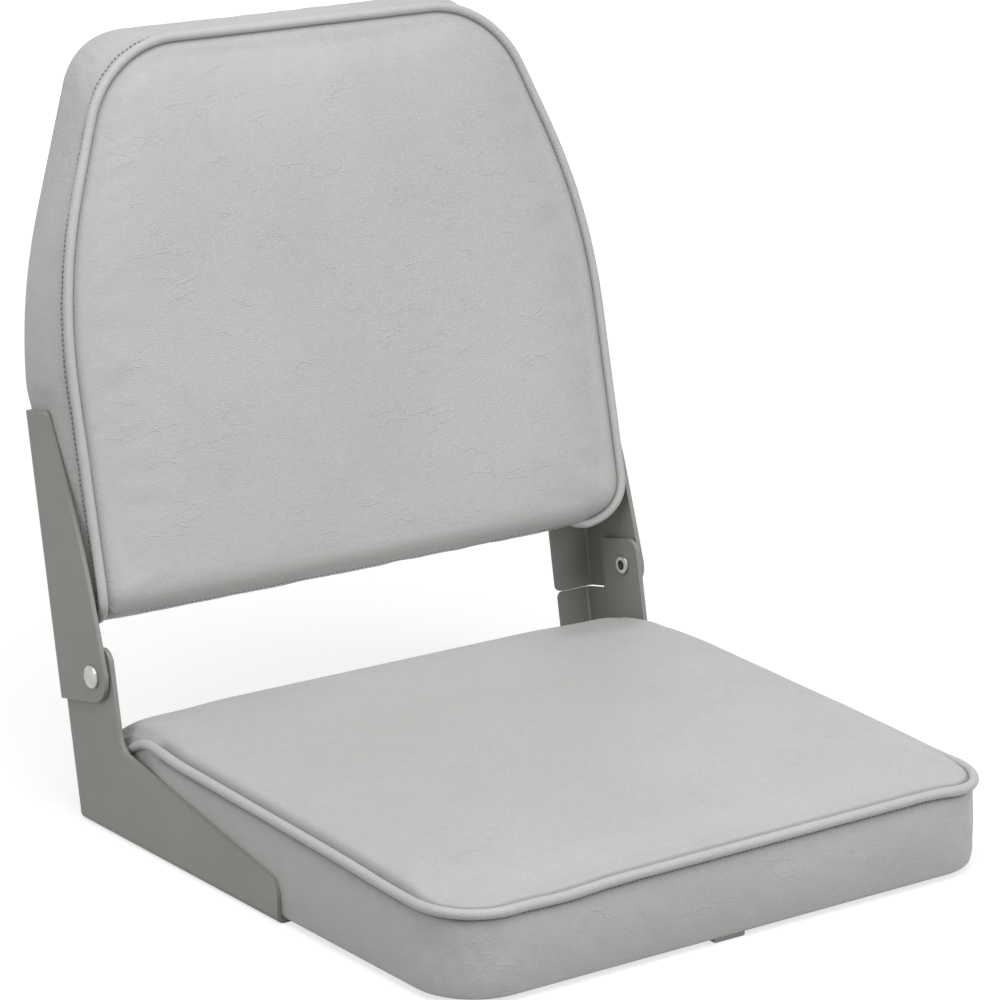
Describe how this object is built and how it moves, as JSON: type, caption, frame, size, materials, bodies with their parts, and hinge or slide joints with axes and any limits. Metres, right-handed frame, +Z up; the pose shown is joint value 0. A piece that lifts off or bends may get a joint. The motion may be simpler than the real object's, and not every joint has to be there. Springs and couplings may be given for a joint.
{
  "type": "folding boat seat",
  "caption": "Low-back folding boat seat: padded grey vinyl seat and backrest on painted sheet-steel hinge brackets; the backrest folds forward over the seat.",
  "frame": {"origin": "centre of the pedestal bolt pattern on the underside of the seat board", "axes": "+X across the seat, to the right seen from the front; -Y towards the front of the seat; +Z up"},
  "size_m": [0.4114, 0.4824, 0.4678],
  "materials": {
    "plywood": "matte",
    "foam": "matte",
    "vinyl": "satin",
    "bracket_paint": "satin",
    "plated_steel": "satin",
    "nylon": "matte"
  },
  "bodies": {
    "seat": {"seat_board": "plywood", "seat_foam": "foam", "seat_top_cover": "vinyl", "seat_boxing": "vinyl", "seat_welt": "vinyl", "seat_staples": "plated_steel", "pedestal_tee_nuts": "plated_steel", "seat_bracket_left": "bracket_paint", "seat_bracket_right": "bracket_paint", "seat_bracket_screws": "plated_steel", "seat_bracket_tee_nuts": "plated_steel", "front_rest_strip": "bracket_paint", "front_strip_screws": "plated_steel", "pivot_rivet_left": "plated_steel", "pivot_rivet_right": "plated_steel", "pivot_washer_left": "nylon", "pivot_washer_right": "nylon"},
    "back": {"back_board": "plywood", "back_foam": "foam", "back_front_cover": "vinyl", "back_boxing": "vinyl", "back_rear_panel": "vinyl", "back_welt": "vinyl", "back_staples": "plated_steel", "back_bracket_left": "bracket_paint", "back_bracket_right": "bracket_paint", "back_bracket_screws": "plated_steel", "back_tee_nuts": "plated_steel"}
  },
  "joints": [
    {"name": "back_fold", "type": "hinge", "parent": "seat", "child": "back", "pos_m": [0, 0.17, 0.094], "axis": [1, 0, 0], "range_deg": [0, 100]}
  ]
}
